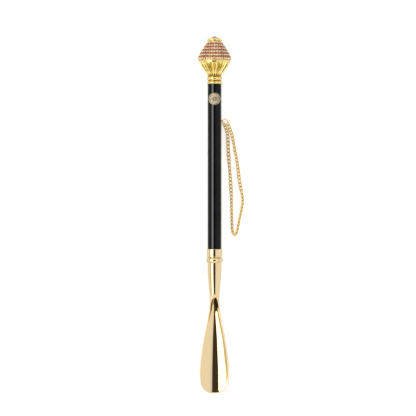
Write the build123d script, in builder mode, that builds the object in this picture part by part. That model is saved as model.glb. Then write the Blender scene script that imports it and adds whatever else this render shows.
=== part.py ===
"""Long shoehorn: a jewelled pommel, a lacquered wooden shaft with a chain loop, and a metal blade.

It lies on its back on a surface at Z = 0, with the hollow of the blade upward. X runs along the
shoehorn, with the pommel towards +X, and the chain lies on the -Y side. The pommel's widest ring
and the back of the blade touch the surface, so the shaft falls a little towards the blade.
Places along the shoehorn are distances from the pommel's point, measured down the shaft's axis.
"""
from build123d import *
from math import atan2, cos, degrees, hypot, pi, radians, sin, tan
import os

os.makedirs("parts", exist_ok=True)

# ---- driving dimensions, in millimetres and degrees ----
overall_length = 535.0
fall_angle = 1.4          # the axis falls this much from the pommel to the blade

pommel_radius = 25.6      # over the lowest row of crystals
cone_top = 9.4            # first row of crystals
cone_top_radius = 11.3
cone_bottom = 33.5        # last row of crystals
cone_bulge = 0.9          # the cone's side bows outward by this much
row_count = 11
crystal_pitch = 4.0       # spacing of the crystals around a row
crystal_diameter = 2.5
crystal_depth = 1.5       # from the bottom of its seat to its table
crystal_seat = 1.4        # depth of the seat below the crystal's table
band_width = 2.5          # a setting row, along the slope of the cone
band_top = 0.55           # the setting row's face below the crystals' tables
band_bottom = 1.9         # and its foot, on the cone

stone_radius = 8.3        # the faceted stone at the pommel's point, at its girdle
stone_sides = 12
bezel_radius = 11.4
bezel_start = 3.9
bezel_end = 8.2

rim_start = 35.3
rim_end = 37.8
rim_radius = 24.1
cup_end = 59.8
cup_radius = 23.0
cup_neck_radius = 9.6
cup_wall = 2.4
flute_count = 24
knob_radius = 1.2

neck_radius = 9.9
neck_end = 71.4
neck_ring_radius = 11.3
upper_ring = (61.3, 65.6)
lower_ring = (67.8, 71.3)

stud_radius = 3.0         # M6
stud_start = 15.0
stud_end = 92.0
insert_radius = 5.5
insert_end = 96.0

shaft_radius = 10.2
shaft_end = 317.6
tenon_radius = 8.6
tenon_end = 350.4

badge_middle = 93.9
badge_radius = 8.9
badge_thickness = 0.8
badge_pin_spacing = 9.0
badge_pin_radius = 0.75
badge_pin_length = 3.6

collar_end = 329.4
collar_radius = 11.6
bead_start = 330.6
bead_end = 338.2
bead_radius = 12.9
socket_radius = 10.35
socket_bore = 8.65
plate = 1.8               # thickness of the blade

eye_wire = 0.55           # radius of the wire of the eye
eye_bow = 2.2             # radius of its bow, at the middle of the wire
ring_wire = 0.7           # radius of the jump ring's wire
ring_radius = 4.5         # of the jump ring, at the middle of the wire
ring_tilt = 38.0          # the jump ring hangs down this much on the blade's side
chain_diameter = 4.8
chain_gap = 3.2           # from the jump ring's wire to each end of the chain's solid

# ---- the frame: distance s from the pommel's point, sideways y, height above the axis ----
fall = radians(fall_angle)
axis_dir = Vector(cos(fall), 0, sin(fall))
up_dir = Vector(-sin(fall), 0, cos(fall))
point_x = overall_length / 2
point_z = pommel_radius / cos(fall) + cone_bottom * sin(fall)
turning = Plane(origin=(point_x, 0, point_z), x_dir=-axis_dir, z_dir=(0, 1, 0))
long_axis = Axis(turning.origin, axis_dir)


def at(s, y=0.0, height=0.0):
    """The point at distance s, sideways y and height above the axis."""
    return turning.origin - axis_dir * s + Vector(0, y, 0) + up_dir * height


def across(s):
    """The plane across the shoehorn at distance s: its x is +Y and its y is up."""
    return Plane(origin=at(s), x_dir=(0, 1, 0), z_dir=axis_dir)


def save(part, name):
    part.label = name
    export_step(part, f"parts/{name}.step")


def turned(outline):
    """A turned piece: the closed outline of (distance, radius) points, revolved."""
    with BuildPart() as piece:
        with BuildSketch(turning):
            with BuildLine():
                Polyline(*outline, close=True)
            make_face()
        revolve(axis=long_axis)
    return piece


# ---- pommel: the cone's side, on which the rows of crystals lie ----
def cone_side(t):
    """Distance, radius and slope angle of the crystals' tables at fraction t down the cone."""
    run = cone_bottom - cone_top
    rise = pommel_radius - cone_top_radius
    chord = hypot(run, rise)
    bow = cone_bulge * 4 * t * (1 - t)
    bow_slope = cone_bulge * 4 * (1 - 2 * t)
    s = cone_top + run * t - rise / chord * bow
    r = cone_top_radius + rise * t + run / chord * bow
    slope = atan2(rise + run / chord * bow_slope, run - rise / chord * bow_slope)
    return s, r, slope


def on_cone(t, along, depth):
    """(distance, radius) of a point at a depth below the tables, moved along the slope."""
    s, r, slope = cone_side(t)
    return s + along * cos(slope) + depth * sin(slope), r + along * sin(slope) - depth * cos(slope)


def crystals_in_row(row):
    s, r, slope = cone_side(row / (row_count - 1))
    return round(2 * pi * (r - crystal_depth / 2) / crystal_pitch)


def crystal_planes(row):
    """A plane on each crystal's table in a row, facing out of the cone."""
    s, r, slope = cone_side(row / (row_count - 1))
    planes = []
    for turn in range(crystals_in_row(row)):
        angle = 2 * pi * (turn + 0.5 * (row % 2)) / crystals_in_row(row)
        outward = Vector(0, sin(angle), 0) + up_dir * cos(angle)
        around = Vector(0, cos(angle), 0) - up_dir * sin(angle)
        middle = turning.origin - axis_dir * s + outward * r
        facing = outward * cos(slope) + axis_dir * sin(slope)
        planes.append(Plane(origin=middle, x_dir=around, z_dir=facing))
    return planes


# The cone is a spun shell with a threaded boss inside it for the stud.
boss_radius = 6.5
cone_foot = rim_start
with BuildPart() as pommel_cone:
    with BuildSketch(turning):
        with BuildLine():
            top = on_cone(0, -1.3, band_bottom)
            middle = on_cone(0.5, 0, band_bottom)
            bottom = on_cone(1, 0.9, band_bottom)
            Polyline((bezel_end, 0), (bezel_end, top[1]), top)
            ThreePointArc(top, middle, bottom)
            Polyline(bottom, (cone_foot, bottom[1]), (cone_foot, bottom[1] - 2.4),
                     (cone_foot - 2.0, bottom[1] - 3.4))
            Polyline((cone_foot - 2.0, bottom[1] - 3.4), (bezel_end + 6.0, boss_radius + 1.0),
                     (bezel_end + 6.0, boss_radius))
            Polyline((bezel_end + 6.0, boss_radius), (cone_foot - 6, boss_radius),
                     (cone_foot - 6, stud_radius), (stud_start, stud_radius), (stud_start, 0),
                     (bezel_end, 0))
        make_face()
    revolve(axis=long_axis)
save(pommel_cone.part, "pommel_cone")

# Each setting row is a gold band with a seat for every crystal.
for row in range(row_count):
    t = row / (row_count - 1)
    foot = band_bottom - 0.03
    with BuildPart() as setting_row:
        with BuildSketch(turning):
            with BuildLine():
                Polyline(on_cone(t, -band_width / 2, foot), on_cone(t, -band_width / 2, band_top),
                         on_cone(t, band_width / 2, band_top), on_cone(t, band_width / 2, foot),
                         close=True)
            make_face()
        revolve(axis=long_axis)
        with Locations(*[table.offset(-crystal_seat).location for table in crystal_planes(row)]):
            Cylinder(crystal_diameter / 2 - 0.15, crystal_seat,
                     align=(Align.CENTER, Align.CENTER, Align.MIN), mode=Mode.SUBTRACT)
    save(setting_row.part, f"setting_row_{row + 1:02d}")

# A crystal is round: a straight pavilion in the seat, a girdle above it and a flat table.
with BuildPart() as crystal:
    with BuildSketch(Plane.XZ):
        with BuildLine():
            Polyline((0, 0.02 - crystal_seat), (crystal_diameter / 2 - 0.17, 0.02 - crystal_seat),
                     (crystal_diameter / 2 - 0.17, 0.02 - band_top),
                     (crystal_diameter / 2 - 0.02, 0.02 - band_top),
                     (crystal_diameter / 4, 0), (0, 0), close=True)
        make_face()
    revolve(axis=Axis.Z)
for row in range(row_count):
    crystals = [crystal.part.moved(table.location) for table in crystal_planes(row)]
    save(Compound(crystals), f"crystal_row_{row + 1:02d}")

# ---- pommel: the stone at its point, in a turned cup ----
with BuildPart() as top_stone:
    with BuildSketch(across(bezel_start + 1.0)):
        RegularPolygon(stone_radius, stone_sides)
    extrude(amount=5.4, taper=degrees(atan2(stone_radius, bezel_start + 0.9)))
    with BuildSketch(across(bezel_start + 1.0)):
        RegularPolygon(stone_radius, stone_sides)
    extrude(amount=-2.4, taper=40)
save(top_stone.part, "top_stone")

with BuildPart() as bezel_cup:
    with BuildSketch(turning):
        with BuildLine():
            Polyline((bezel_end, 0), (bezel_end, 9.6))
            ThreePointArc((bezel_end, 9.6), (bezel_end - 2.3, bezel_radius), (bezel_start, 9.4))
            Polyline((bezel_start, 9.4), (bezel_start, stone_radius - 0.6),
                     (bezel_start + 0.5, stone_radius - 0.3))
            Polyline((bezel_start + 0.5, stone_radius - 0.3), (bezel_start + 0.7, stone_radius + 0.05),
                     (bezel_start + 1.1, stone_radius + 0.05),
                     (bezel_end - 0.7, stone_radius - 1.9), (bezel_end - 0.7, 0), (bezel_end, 0))
        make_face()
    revolve(axis=long_axis)
save(bezel_cup.part, "bezel_cup")

# ---- pommel: rim and fluted cup ----
with BuildPart() as rim_ring:
    with BuildSketch(turning):
        with BuildLine():
            Polyline((rim_start, rim_radius - 0.9), (rim_start, 19.0), (rim_end, 19.0),
                     (rim_end, rim_radius - 0.9))
            ThreePointArc((rim_end, rim_radius - 0.9), ((rim_start + rim_end) / 2, rim_radius),
                          (rim_start, rim_radius - 0.9))
        make_face()
    revolve(axis=long_axis)
save(rim_ring.part, "rim_ring")

flute_top = rim_end + 1.9
flute_top_radius = 1.95
flute_foot_radius = 0.85
knob_place = (rim_end + 4.0, cup_radius - 1.3)
flute_axis_top = (flute_top + flute_top_radius, cup_radius + 0.35)
flute_axis_foot = (cup_end - 1.2, cup_neck_radius + 0.55)
flute_length = hypot(flute_axis_foot[0] - flute_axis_top[0], flute_axis_top[1] - flute_axis_foot[1])


def around(s, r, turns):
    """The point at distance s and radius r, at a number of turns from the top."""
    angle = 2 * pi * turns
    return at(s) + Vector(0, sin(angle), 0) * r + up_dir * (cos(angle) * r)


def knob_at(turns):
    return Location(around(*knob_place, turns))


def flute_at(turns):
    head = around(*flute_axis_top, turns)
    foot = around(*flute_axis_foot, turns)
    return Plane(origin=head, z_dir=foot - head).location


# A flute is cut by a long taper with a round head.
with BuildPart() as flute_cutter:
    with BuildSketch(Plane.XZ):
        with BuildLine():
            ThreePointArc((0, -flute_top_radius), (flute_top_radius * sin(pi / 4), -flute_top_radius * cos(pi / 4)),
                          (flute_top_radius, 0))
            Polyline((flute_top_radius, 0), (flute_foot_radius, flute_length), (0, flute_length),
                     (0, -flute_top_radius))
        make_face()
    revolve(axis=Axis.Z)
with BuildPart() as fluted_cup:
    with BuildSketch(turning):
        with BuildLine():
            Polyline((rim_end, cup_radius), (rim_end + 3.0, cup_radius - 0.6))
            Spline((rim_end + 3.0, cup_radius - 0.6), (rim_end + 10.6, cup_radius - 5.6),
                   (cup_end - 3.6, cup_neck_radius + 1.6), (cup_end, cup_neck_radius))
            Polyline((cup_end, cup_neck_radius), (cup_end, stud_radius + 0.05),
                     (cup_end - 4.0, stud_radius + 0.05), (cup_end - 4.0, cup_neck_radius - 2.6),
                     (rim_end + 10.0, cup_radius - 5.6 - 2.8), (rim_end + 2.4, cup_radius - 4.0),
                     (rim_end, cup_radius - 4.0), (rim_end, cup_radius))
        make_face()
    revolve(axis=long_axis)
    with Locations(*[knob_at((turn + 0.5) / flute_count) for turn in range(flute_count)]):
        Sphere(knob_radius)
    for turn in range(flute_count):
        add(flute_cutter.part.moved(flute_at(turn / flute_count)), mode=Mode.SUBTRACT)
save(fluted_cup.part, "fluted_cup")

# ---- neck: a sleeve with two turned rings on it ----
neck_sleeve = turned([(cup_end, neck_radius), (cup_end, stud_radius + 0.05),
                      (neck_end, stud_radius + 0.05), (neck_end, neck_radius)])
save(neck_sleeve.part, "neck_sleeve")

for name, (start, end) in (("upper_neck_ring", upper_ring), ("lower_neck_ring", lower_ring)):
    with BuildPart() as neck_ring:
        with BuildSketch(turning):
            with BuildLine():
                Polyline((start, neck_radius + 0.5), (start, neck_radius + 0.02),
                         (end, neck_radius + 0.02), (end, neck_radius + 0.5))
                ThreePointArc((end, neck_radius + 0.5), ((start + end) / 2, neck_ring_radius),
                              (start, neck_radius + 0.5))
            make_face()
        revolve(axis=long_axis)
    save(neck_ring.part, name)

# ---- the stud that holds the pommel, and its insert in the shaft ----
stud = turned([(stud_start, 0), (stud_start, stud_radius - 0.05), (stud_end, stud_radius - 0.05),
               (stud_end, 0)])
save(stud.part, "pommel_stud")
insert = turned([(neck_end + 0.4, stud_radius), (neck_end + 0.4, insert_radius),
                 (insert_end, insert_radius), (insert_end, stud_radius)])
save(insert.part, "shaft_insert")

# ---- the eye on the shaft's side: a bent wire, its two legs in the shaft ----
ring_grip = point_x - 127.2                # along X, where the jump ring passes the eye
grip_s = (point_x - ring_grip) / cos(fall)
grip_z = at(grip_s).Z
grip = Vector(ring_grip, -(shaft_radius + 0.3 + ring_wire), grip_z)
ring_out = Vector(-0.14, -0.99, 0).normalized()
ring_down = (Vector(-0.99, 0.14, 0).normalized() * cos(radians(ring_tilt))
             - Vector(0, 0, sin(radians(ring_tilt))))
ring_middle = grip + ring_out * ring_radius
eye_outer = grip.Y - ring_wire - 0.35 - eye_wire
eye_middle = Vector(grip.X, eye_outer + eye_bow, grip.Z)
eye_across = Vector(-sin(radians(ring_tilt)), 0, cos(radians(ring_tilt)))
leg_depth = 4.5
legs = [Vector(eye_middle.X, -leg_depth, eye_middle.Z) + eye_across * side
        for side in (eye_bow, -eye_bow)]
shoulders = [Vector(leg.X, eye_middle.Y, leg.Z) for leg in legs]
with BuildPart() as chain_eye:
    with BuildLine() as eye_path:
        Line(legs[0], shoulders[0])
        ThreePointArc(shoulders[0], Vector(grip.X, eye_outer, grip.Z), shoulders[1])
        Line(shoulders[1], legs[1])
    with BuildSketch(Plane(origin=legs[0], z_dir=(0, -1, 0))):
        Circle(eye_wire)
    sweep(path=eye_path.line)
save(chain_eye.part, "chain_eye")

# ---- shaft: lacquered wood, bored for the insert, with a tenon for the blade's socket ----
with BuildPart() as shaft:
    with BuildSketch(turning):
        with BuildLine():
            Polyline((neck_end, insert_radius + 0.03), (neck_end, shaft_radius),
                     (shaft_end, shaft_radius), (shaft_end, tenon_radius), (tenon_end, tenon_radius),
                     (tenon_end, 0), (insert_end + 2.0, 0), (insert_end + 2.0, stud_radius + 0.3),
                     (insert_end, stud_radius + 0.3), (insert_end, insert_radius + 0.03), close=True)
        make_face()
    revolve(axis=long_axis)
    for leg in legs:
        with BuildSketch(Plane(origin=(leg.X, -leg_depth + 0.05, leg.Z), z_dir=(0, -1, 0))):
            Circle(eye_wire + 0.02)
        extrude(amount=shaft_radius, mode=Mode.SUBTRACT)
    for side in (-1, 1):
        with BuildSketch(Plane(origin=at(badge_middle + side * badge_pin_spacing / 2, 0, 6.5),
                               z_dir=up_dir)):
            Circle(badge_pin_radius + 0.02)
        extrude(amount=shaft_radius, mode=Mode.SUBTRACT)
save(shaft.part, "shaft")

# ---- badge: a plain round plaque bent to the shaft, on two pins ----
badge_plane = Plane(origin=at(badge_middle), x_dir=(0, 1, 0), z_dir=up_dir)
with BuildPart() as badge:
    with BuildSketch(badge_plane):
        Circle(badge_radius)
    extrude(amount=shaft_radius + 2 * badge_thickness)
    with BuildSketch(across(badge_middle - 2 * badge_radius)):
        Circle(shaft_radius + badge_thickness)
    extrude(amount=-4 * badge_radius, mode=Mode.INTERSECT)
    with BuildSketch(across(badge_middle - 2 * badge_radius)):
        Circle(shaft_radius + 0.01)
    extrude(amount=-4 * badge_radius, mode=Mode.SUBTRACT)
with BuildPart() as badge_rim:
    with BuildSketch(badge_plane):
        Circle(badge_radius)
        Circle(badge_radius - 1.1, mode=Mode.SUBTRACT)
    extrude(amount=shaft_radius + 2 * badge_thickness)
    with BuildSketch(across(badge_middle - 2 * badge_radius)):
        Circle(shaft_radius + badge_thickness + 0.4)
        Circle(shaft_radius + badge_thickness - 0.2, mode=Mode.SUBTRACT)
    extrude(amount=-4 * badge_radius, mode=Mode.INTERSECT)
with BuildPart() as badge_plaque:
    add(badge.part)
    add(badge_rim.part)
save(badge_plaque.part, "badge")

with BuildPart() as badge_pins:
    for side in (-1, 1):
        with BuildSketch(Plane(origin=at(badge_middle + side * badge_pin_spacing / 2, 0,
                                         shaft_radius - badge_pin_length), z_dir=up_dir)):
            Circle(badge_pin_radius)
        extrude(amount=badge_pin_length)
save(badge_pins.part, "badge_pins")

# ---- ferrule: collar and bead ring over the tenon ----
with BuildPart() as ferrule_collar:
    with BuildSketch(turning):
        with BuildLine():
            Polyline((shaft_end, tenon_radius + 0.02), (shaft_end, collar_radius - 0.6),
                     (shaft_end + 0.6, collar_radius), (collar_end - 0.6, collar_radius),
                     (collar_end, collar_radius - 0.6), (collar_end, collar_radius - 1.2),
                     (bead_start, collar_radius - 1.2), (bead_start, tenon_radius + 0.02), close=True)
        make_face()
    revolve(axis=long_axis)
save(ferrule_collar.part, "ferrule_collar")

with BuildPart() as bead_ring:
    with BuildSketch(turning):
        with BuildLine():
            Polyline((bead_start, collar_radius - 1.2), (bead_start, tenon_radius + 0.02),
                     (bead_end, tenon_radius + 0.02), (bead_end, collar_radius - 1.2))
            ThreePointArc((bead_end, collar_radius - 1.2), ((bead_start + bead_end) / 2, bead_radius),
                          (bead_start, collar_radius - 1.2))
        make_face()
    revolve(axis=long_axis)
save(bead_ring.part, "bead_ring")

# ---- blade: a turned socket and neck that open into a trough ----
# station: distance, radius of the back, height of the back, height of the rim
neck_foot = 398.0
blade_stations = [
    (388.0, 7.3, -7.3, 6.2), (394.0, 7.25, -7.3, 4.0), (400.0, 7.1, -7.3, 1.2),
    (407.0, 8.2, -7.4, -1.2), (414.0, 10.0, -7.7, -2.3), (426.0, 14.0, -8.5, -3.4),
    (441.0, 20.0, -9.9, -4.4), (456.0, 25.0, -11.3, -4.9), (471.0, 28.0, -12.5, -5.3),
    (486.0, 31.0, -13.35, -5.5), (501.0, 34.0, -13.9, -6.0), (516.0, 35.0, -13.75, -5.8),
    (538.0, 36.0, -12.5, -4.6),
]
hollow_stations = [
    (389.5, 1.0, 5.9, 9.0), (394.0, 3.4, 1.2, 9.0), (400.0, 5.0, -3.4, 8.0), (407.0, 6.2, -5.2, 6.0),
    (415.0, 7.3, -5.9, 5.0),
]


def rim_half_width(radius, back, rim):
    """Half the width of an arc of this radius, from its lowest point up to the rim."""
    return (radius ** 2 - (back + radius - rim) ** 2) ** 0.5


with BuildPart() as blade_back:
    for s, radius, back, rim in blade_stations:
        half = rim_half_width(radius, back, rim)
        with BuildSketch(across(s)):
            with BuildLine():
                Line((-half, rim), (half, rim))
                ThreePointArc((half, rim), (0, back), (-half, rim))
            make_face()
    loft()
with BuildPart() as blade_hollow:
    for s, radius, back, rim in blade_stations[4:]:
        inner = radius - plate
        top_edge = rim + 3.0
        half = rim_half_width(inner, back + plate, rim + 0.6)
        with BuildSketch(across(s)):
            with BuildLine():
                Polyline((-half, rim + 0.6), (-half - 2, top_edge), (half + 2, top_edge),
                         (half, rim + 0.6))
                ThreePointArc((half, rim + 0.6), (0, back + plate), (-half, rim + 0.6))
            make_face()
    loft()
with BuildPart() as blade_root:
    for s, half, floor_height, top_edge in hollow_stations:
        with BuildSketch(across(s)):
            with BuildLine():
                Line((-half, top_edge), (half, top_edge))
                Line((half, top_edge), (half, floor_height + half))
                ThreePointArc((half, floor_height + half), (0, floor_height), (-half, floor_height + half))
                Line((-half, floor_height + half), (-half, top_edge))
            make_face()
    loft()

# The outline of the blade, seen from above: distance and half width, to the round tip.
outline = [(386.0, 9.0), (392.0, 8.2), (400.0, 7.0), (414.0, 8.9), (426.0, 10.75), (441.0, 13.8),
           (456.0, 16.65), (471.0, 18.9), (486.0, 20.75), (501.0, 21.85), (508.5, 22.1)]
tip_shoulder = (523.2, 19.3)
tip = overall_length
with BuildPart() as blade_plan:
    with BuildSketch(Plane(origin=at(0, 0, -30), x_dir=-axis_dir, z_dir=up_dir)):
        with BuildLine():
            Spline(*outline)
            Spline(outline[-1], tip_shoulder, (531.0, 13.6), (tip, 0), (531.0, -13.6),
                   (tip_shoulder[0], -tip_shoulder[1]), (outline[-1][0], -outline[-1][1]),
                   tangents=((1, 0), (-1, 0)))
            Spline(*[(s, -half) for s, half in reversed(outline)])
            Line((outline[0][0], -outline[0][1]), outline[0])
        make_face()
    extrude(amount=60)

with BuildPart() as neck:
    with BuildSketch(turning):
        with BuildLine():
            Polyline((bead_end, socket_bore), (bead_end, socket_radius), (351.0, socket_radius + 0.05))
            Spline((351.0, socket_radius + 0.05), (366.0, 9.3), (379.0, 8.1), (388.0, 7.55),
                   (neck_foot, 6.4))
            Polyline((neck_foot, 6.4), (neck_foot, 0), (tenon_end + 1.0, 0),
                     (tenon_end + 1.0, socket_bore), (bead_end, socket_bore))
        make_face()
    revolve(axis=long_axis)
    # the neck's top falls away to the blade's rim
    with BuildSketch(Plane(origin=at(0, -20, 0), x_dir=-axis_dir, z_dir=(0, 1, 0))):
        Polygon((384.5, 7.9), (388.0, 6.15), (394.0, 3.95), (402.0, 0.5), (402.0, 12), (384.5, 12),
                align=None)
    extrude(amount=40, mode=Mode.SUBTRACT)

with BuildPart() as blade:
    add(blade_back.part)
    add(blade_plan.part, mode=Mode.INTERSECT)
    add(blade_hollow.part, mode=Mode.SUBTRACT)
    add(neck.part)
    add(blade_root.part, mode=Mode.SUBTRACT)
save(blade.part, "blade")

# ---- jump ring ----
ring_plane = Plane(origin=ring_middle, x_dir=ring_out, z_dir=ring_out.cross(ring_down))
with BuildPart() as jump_ring:
    with BuildSketch(Plane(origin=ring_middle + ring_out * ring_radius, x_dir=ring_out,
                           z_dir=ring_down)):
        Circle(ring_wire)
    revolve(axis=Axis(ring_middle, ring_plane.z_dir))
save(jump_ring.part, "jump_ring")


# ---- chain: a loop with both ends at the jump ring ----
def on_ring(angle):
    """The middle of the jump ring's wire at an angle from its outermost point, downhill."""
    turn = radians(angle)
    return ring_middle + (ring_out * cos(turn) + ring_down * sin(turn)) * ring_radius


left_hook = on_ring(105)
right_hook = on_ring(25)
left_way = Vector(-0.60, -0.30, -0.72).normalized()
right_way = Vector(-0.62, -0.32, -0.70).normalized()
left_start = left_hook + left_way * chain_gap
right_start = right_hook + right_way * chain_gap
floor_line = chain_diameter / 2
route = [
    left_start, Vector(125.5, -19.2, 11.0), Vector(114.0, -20.2, 4.2), Vector(97.0, -20.6, floor_line),
    Vector(66.0, -23.2, floor_line), Vector(31.0, -25.5, floor_line), Vector(2.0, -25.8, floor_line),
    Vector(-15.0, -26.4, floor_line), Vector(-26.4, -26.2, floor_line),
    Vector(-29.6, -31.7, floor_line), Vector(-26.4, -37.2, floor_line),
    Vector(-15.0, -37.4, floor_line), Vector(3.0, -39.8, floor_line), Vector(22.0, -43.4, floor_line),
    Vector(40.0, -39.6, floor_line), Vector(58.0, -36.6, floor_line), Vector(79.0, -34.6, floor_line),
    Vector(98.0, -30.6, floor_line), Vector(114.0, -28.0, 5.2), Vector(124.5, -25.0, 11.6), right_start,
]
radii = []
for before, corner, after in zip(route, route[1:], route[2:]):
    turn = radians((corner - before).get_angle(after - corner))
    shorter = min((corner - before).length, (after - corner).length)
    radii.append(0.45 * shorter / tan(turn / 2))
print("chain radii", [round(radius, 1) for radius in radii])
with BuildPart() as chain:
    with BuildLine() as chain_path:
        FilletPolyline(*route, radius=radii)
    with BuildSketch(Plane(origin=route[0], z_dir=route[1] - route[0])):
        Circle(chain_diameter / 2)
    sweep(path=chain_path.line)
chain_length = sum(edge.length for edge in chain_path.edges())
save(chain.part, "chain")
print("chain length", chain_length, "volume over section times length",
      chain.part.volume / (pi * chain_diameter ** 2 / 4 * chain_length))

hinge_way = (left_hook - right_hook).normalized()
print("eye hinge", [round(v / 1000, 6) for v in (grip.X, eye_outer, grip.Z)])
print("chain hinge at", [round(v / 1000, 6) for v in (left_hook + right_hook) * 0.5],
      "along", [round(v, 6) for v in hinge_way])
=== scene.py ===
"""Long shoehorn: a jewelled pommel, a lacquered shaft with a wrist chain, a polished blade.

It lies on its back on the floor, with the pommel towards +X and the hollow of the blade upward.
The file follows the object as it is put together: camera and room, the wrist chain, the pommel,
the neck, the shaft with its badge, the ferrule, and the blade.
"""
from math import asin, atan, atan2, cos, degrees, hypot, pi, radians, sin, tan

import bmesh
import bpy
import numpy as np
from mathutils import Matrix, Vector


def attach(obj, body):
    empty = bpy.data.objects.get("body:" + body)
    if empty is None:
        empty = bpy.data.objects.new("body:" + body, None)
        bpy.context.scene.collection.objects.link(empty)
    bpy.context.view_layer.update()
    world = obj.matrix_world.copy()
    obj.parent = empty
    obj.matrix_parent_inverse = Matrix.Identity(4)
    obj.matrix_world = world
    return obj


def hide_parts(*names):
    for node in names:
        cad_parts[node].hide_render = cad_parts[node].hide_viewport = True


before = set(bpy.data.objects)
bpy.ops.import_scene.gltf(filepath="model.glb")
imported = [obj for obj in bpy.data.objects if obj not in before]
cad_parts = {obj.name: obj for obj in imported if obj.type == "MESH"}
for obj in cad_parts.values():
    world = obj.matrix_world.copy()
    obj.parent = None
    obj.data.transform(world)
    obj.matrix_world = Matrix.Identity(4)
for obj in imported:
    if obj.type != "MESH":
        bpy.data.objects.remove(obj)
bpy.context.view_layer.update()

# ---- Camera: straight above the shoehorn, far away through a long lens ----
# The pommel is at the top of the view and the chain on its right. The distance keeps the
# thickness of the pommel from showing as perspective.
MM = 0.001
view_middle = (11.1 * MM, 9.75 * MM)
view_width = 620.2 * MM
view_height = 3.0
axis_height = 25 * MM                          # the level at which the view has its width
lens_data = bpy.data.cameras.new("camera")
lens_data.sensor_width = 36
lens_data.lens = lens_data.sensor_width * (view_height - axis_height) / view_width
camera = bpy.data.objects.new("camera", lens_data)
camera.location = (*view_middle, view_height)
camera.rotation_euler = (0, 0, radians(-90))
bpy.context.scene.collection.objects.link(camera)
bpy.context.scene.camera = camera
bpy.context.scene.view_settings.view_transform = "Standard"


# ---- Room: a pale floor under soft light, with a long softbox and a white wall beside it ----
# Gloss reflects bands of light that run the length of the shoehorn: the softbox, a dark canopy
# overhead, which draws the dark lines down the polished metal, and the wall. All that is matt
# is lit by an even dome instead, which keeps the shadows faint.
def linear(hex_colour):
    """The linear colour of an sRGB hex value."""
    parts = [int(hex_colour[i:i + 2], 16) / 255 for i in (1, 3, 5)]
    return (*[p / 12.92 if p <= 0.04045 else ((p + 0.055) / 1.055) ** 2.4 for p in parts], 1.0)


def add_node(tree, kind, values=None, links=None, **settings):
    """A new node: its settings, constant input values by name, and linked inputs by name."""
    made = tree.nodes.new(kind)
    for key, value in settings.items():
        setattr(made, key, value)
    for key, value in (values or {}).items():
        made.inputs[key].default_value = value
    for key, socket in (links or {}).items():
        tree.links.new(socket, made.inputs[key])
    return made


def set_ramp(ramp_node, stops):
    """Sets a colour ramp's stops: (position, linear colour)."""
    ramp = ramp_node.color_ramp
    while len(ramp.elements) > len(stops):
        ramp.elements.remove(ramp.elements[-1])
    while len(ramp.elements) < len(stops):
        ramp.elements.new(1.0)
    for element, (position, colour) in zip(ramp.elements, stops):
        element.position = position
        element.color = colour


# (degrees from straight up, those towards the side without the chain being negative; colour;
# brightness): one list for the middle of the room and one for its two ends. The softbox is
# from -63 to -22 and the canopy from -19.5 to 11.
brightest = 4.0
side_bands = [
    (-90, "#F4E9D6", 0.95), (-80, "#F4E9D6", 0.75), (-67, "#F4E9D6", 0.8), (-63, "#FFFFFF", 1.6),
    (-54, "#FFFFFF", 2.6), (-22, "#FFFFFF", 2.6), (-19.5, "#FFE9C4", 0.05),
    (11, "#FFE9C4", 0.05), (14, "#F3F6FA", 0.85), (30, "#FFFFFF", 0.96), (90, "#FFFBF4", 0.98),
]
end_bands = [
    (-90, "#FFF2DC", 0.6), (-80, "#FFF2DC", 0.14), (-69, "#FFF2DC", 0.14), (-60, "#FFF6E6", 1.15),
    (-22, "#FFFFFF", 1.25), (-9, "#FFF2DC", 1.05), (9, "#FFF2DC", 1.05), (22, "#FFFFFF", 1.25),
    (60, "#FFF6E6", 1.15), (69, "#FFF2DC", 0.14), (80, "#FFF2DC", 0.14), (90, "#FFF2DC", 0.6),
]
ends_begin, ends_full = 0.42, 0.62             # how far towards the ends the bands change over
world = bpy.data.worlds.new("studio")
bpy.context.scene.world = world
world.use_nodes = True
sky = world.node_tree
sky.nodes.clear()
direction = add_node(sky, "ShaderNodeTexCoord")
split = add_node(sky, "ShaderNodeSeparateXYZ", links={"Vector": direction.outputs["Generated"]})
lean = add_node(sky, "ShaderNodeMath", operation="ARCTAN2",
                links={0: split.outputs["Y"], 1: split.outputs["Z"]})
share = add_node(sky, "ShaderNodeMapRange", links={"Value": lean.outputs[0]},
                 values={"From Min": radians(90), "From Max": radians(-90),
                         "To Min": 0.0, "To Max": 1.0})
ramps = []
for bands in (side_bands, end_bands):
    ramps.append(add_node(sky, "ShaderNodeValToRGB", links={"Fac": share.outputs[0]}))
    set_ramp(ramps[-1], [(angle / 180 + 0.5,
                          (*(c * level / brightest for c in linear(tint)[:3]), 1.0))
                         for angle, tint, level in bands])
far_end = add_node(sky, "ShaderNodeMath", operation="ABSOLUTE", links={0: split.outputs["X"]})
to_end = add_node(sky, "ShaderNodeMapRange", links={"Value": far_end.outputs[0]},
                  values={"From Min": ends_begin, "From Max": ends_full})
both = add_node(sky, "ShaderNodeMix", data_type="RGBA", links={"Factor": to_end.outputs[0]})
sky.links.new(ramps[0].outputs["Color"], both.inputs[6])
sky.links.new(ramps[1].outputs["Color"], both.inputs[7])
studio_light = add_node(sky, "ShaderNodeBackground", links={"Color": both.outputs[2]},
                        values={"Strength": brightest})
soft_dome = add_node(sky, "ShaderNodeBackground",
                     values={"Color": linear("#FDFDFC"), "Strength": 1.0})
ray = add_node(sky, "ShaderNodeLightPath")
lit = add_node(sky, "ShaderNodeMixShader",
               links={"Fac": ray.outputs["Is Glossy Ray"], 1: soft_dome.outputs[0],
                      2: studio_light.outputs[0]})
add_node(sky, "ShaderNodeOutputWorld", links={"Surface": lit.outputs[0]})
world.cycles.sampling_method = "NONE"

# A broad lamp overhead gives the faint shadow under the shoehorn. Gloss doesn't show it.
overhead = bpy.data.objects.new("overhead_lamp", bpy.data.lights.new("overhead_lamp", "SUN"))
overhead.data.energy = 0.5
overhead.data.angle = radians(30)
overhead.visible_glossy = False
bpy.context.scene.collection.objects.link(overhead)

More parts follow.
